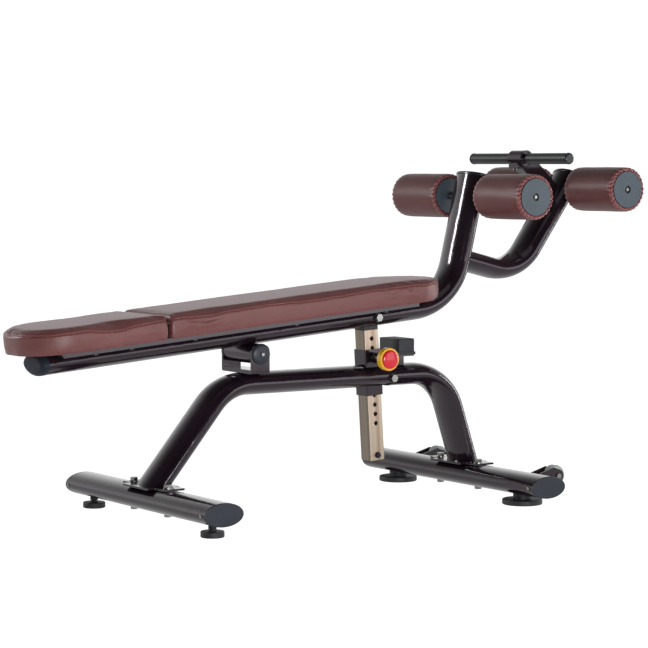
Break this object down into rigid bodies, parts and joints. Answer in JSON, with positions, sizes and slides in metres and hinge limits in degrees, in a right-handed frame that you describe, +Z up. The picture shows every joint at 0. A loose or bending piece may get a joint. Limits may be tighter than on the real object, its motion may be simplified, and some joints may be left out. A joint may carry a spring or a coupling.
{
  "type": "ab crunch machine",
  "caption": "Adjustable ab crunch bench: oval tube frame, hinged padded bench with leg rollers and handle, on a square height post with a pull pin.",
  "frame": {"origin": "on the floor, under the middle of the machine's overall box", "axes": "+X along the machine towards the leg rollers, +Y across it away from the pull knob, +Z up"},
  "size_m": [1.7616, 0.766, 0.928],
  "materials": {
    "frame_paint": "gloss near-black plum paint",
    "cap_plastic": "satin slate moulding",
    "zinc_steel": "bright zinc plate",
    "black_steel": "black oxide",
    "black_rubber": "moulded rubber",
    "wheel_plastic": "grey-green polyurethane",
    "bronze": "oiled bearing bronze",
    "knob_yellow": "gloss moulding",
    "knob_red": "gloss moulding",
    "post_metal": "champagne brushed plate",
    "leather": "fine grained brown-maroon upholstery",
    "plywood": "raw plywood",
    "disc_plastic": "satin blue-grey moulding",
    "grip_rubber": "ribbed grip rubber",
    "grip_cap": "gloss moulding"
  },
  "bodies": {
    "base": {"base_main_tube": "frame_paint", "front_leg_plate": "frame_paint", "rear_leg_plate": "frame_paint", "front_foot_bar": "frame_paint", "rear_foot_bar": "frame_paint", "foot_bar_end_caps": "cap_plastic", "cap_screws": "zinc_steel", "leg_bolts": "zinc_steel", "base_nuts_and_washers": "zinc_steel", "rear_rubber_feet": "black_rubber", "wheel_brackets": "frame_paint", "wheel_axle_bolts": "zinc_steel", "hinge_bracket": "frame_paint", "hinge_pin": "zinc_steel", "hinge_caps": "cap_plastic", "stop_bracket": "frame_paint", "stop_rubber": "black_rubber", "sleeve_pivot_bolt": "zinc_steel"},
    "leveller_l": {"leveller_left": "black_rubber"},
    "leveller_r": {"leveller_right": "black_rubber"},
    "wheel_l": {"transport_wheel_left": "wheel_plastic"},
    "wheel_r": {"transport_wheel_right": "wheel_plastic"},
    "sleeve": {"sleeve_tube": "frame_paint", "sleeve_pivot_barrel": "frame_paint", "pin_housing": "black_steel", "pin_spring": "zinc_steel"},
    "pull_knob": {"pull_pin": "zinc_steel", "knob_body": "knob_yellow", "knob_face": "knob_red"},
    "post": {"height_post": "post_metal", "post_top_lug": "black_steel", "post_stop_bolt": "zinc_steel"},
    "bench": {"bench_tube": "frame_paint", "beam_end_cap": "cap_plastic", "arm_end_caps": "cap_plastic", "rear_arm_tube": "frame_paint", "hinge_barrel": "frame_paint", "hinge_bushes": "bronze", "pad_rails": "frame_paint", "head_pad": "leather", "back_pad": "leather", "pad_boards": "plywood", "pad_screws": "zinc_steel", "post_pivot_bolt": "zinc_steel", "roller_axles": "zinc_steel", "roller_axle_bolts": "zinc_steel", "handle_bracket": "frame_paint", "handle_clamp": "frame_paint", "handle_bolt": "zinc_steel", "handle_bar": "zinc_steel", "handle_grips": "grip_rubber", "grip_end_caps": "grip_cap"},
    "roller_front_left": {"roller_pad_front_left": "leather", "roller_hub_front_left": "disc_plastic"},
    "roller_front_right": {"roller_pad_front_right": "leather", "roller_hub_front_right": "disc_plastic"},
    "roller_rear_left": {"roller_pad_rear_left": "leather", "roller_hub_rear_left": "disc_plastic"},
    "roller_rear_right": {"roller_pad_rear_right": "leather", "roller_hub_rear_right": "disc_plastic"}
  },
  "joints": [
    {"name": "bench_tilt", "type": "hinge", "parent": "base", "child": "bench", "pos_m": [-0.215, 0, 0.411], "axis": [0, -1, 0], "range_deg": [-3.71, 22.29]},
    {"name": "sleeve_swing", "type": "hinge", "parent": "base", "child": "sleeve", "pos_m": [0.208, 0, 0.3274], "axis": [0, -1, 0], "range_deg": [-1.6, 9]},
    {"name": "post_slide", "type": "slide", "parent": "sleeve", "child": "post", "axis": [-0.0629, 0, 0.998], "range_m": [-0.0252, 0.1502]},
    {"name": "pin_pull", "type": "slide", "parent": "sleeve", "child": "pull_knob", "axis": [0, 1, 0], "range_m": [0, 0.012]},
    {"name": "leveller_left_turn", "type": "hinge", "parent": "base", "child": "leveller_l", "pos_m": [-0.495, -0.295, 0], "axis": [0, 0, 1], "continuous": true},
    {"name": "leveller_right_turn", "type": "hinge", "parent": "base", "child": "leveller_r", "pos_m": [-0.495, 0.295, 0], "axis": [0, 0, 1], "continuous": true},
    {"name": "wheel_left_spin", "type": "hinge", "parent": "base", "child": "wheel_l", "pos_m": [0.59, -0.258, 0.064], "axis": [0, 1, 0], "continuous": true},
    {"name": "wheel_right_spin", "type": "hinge", "parent": "base", "child": "wheel_r", "pos_m": [0.59, 0.258, 0.064], "axis": [0, 1, 0], "continuous": true},
    {"name": "roller_front_left_spin", "type": "hinge", "parent": "bench", "child": "roller_front_left", "pos_m": [0.50433, -0.184, 0.80388], "axis": [0, 1, 0], "continuous": true},
    {"name": "roller_front_right_spin", "type": "hinge", "parent": "bench", "child": "roller_front_right", "pos_m": [0.50433, 0.184, 0.80388], "axis": [0, 1, 0], "continuous": true},
    {"name": "roller_rear_left_spin", "type": "hinge", "parent": "bench", "child": "roller_rear_left", "pos_m": [0.82074, -0.184, 0.82191], "axis": [0, 1, 0], "continuous": true},
    {"name": "roller_rear_right_spin", "type": "hinge", "parent": "bench", "child": "roller_rear_right", "pos_m": [0.82074, 0.184, 0.82191], "axis": [0, 1, 0], "continuous": true}
  ],
  "couplings": [
    {"joint": "sleeve_swing", "follows": "bench_tilt", "ratio": 0.399},
    {"joint": "post_slide", "follows": "bench_tilt", "m_per_rad": 0.3856}
  ]
}
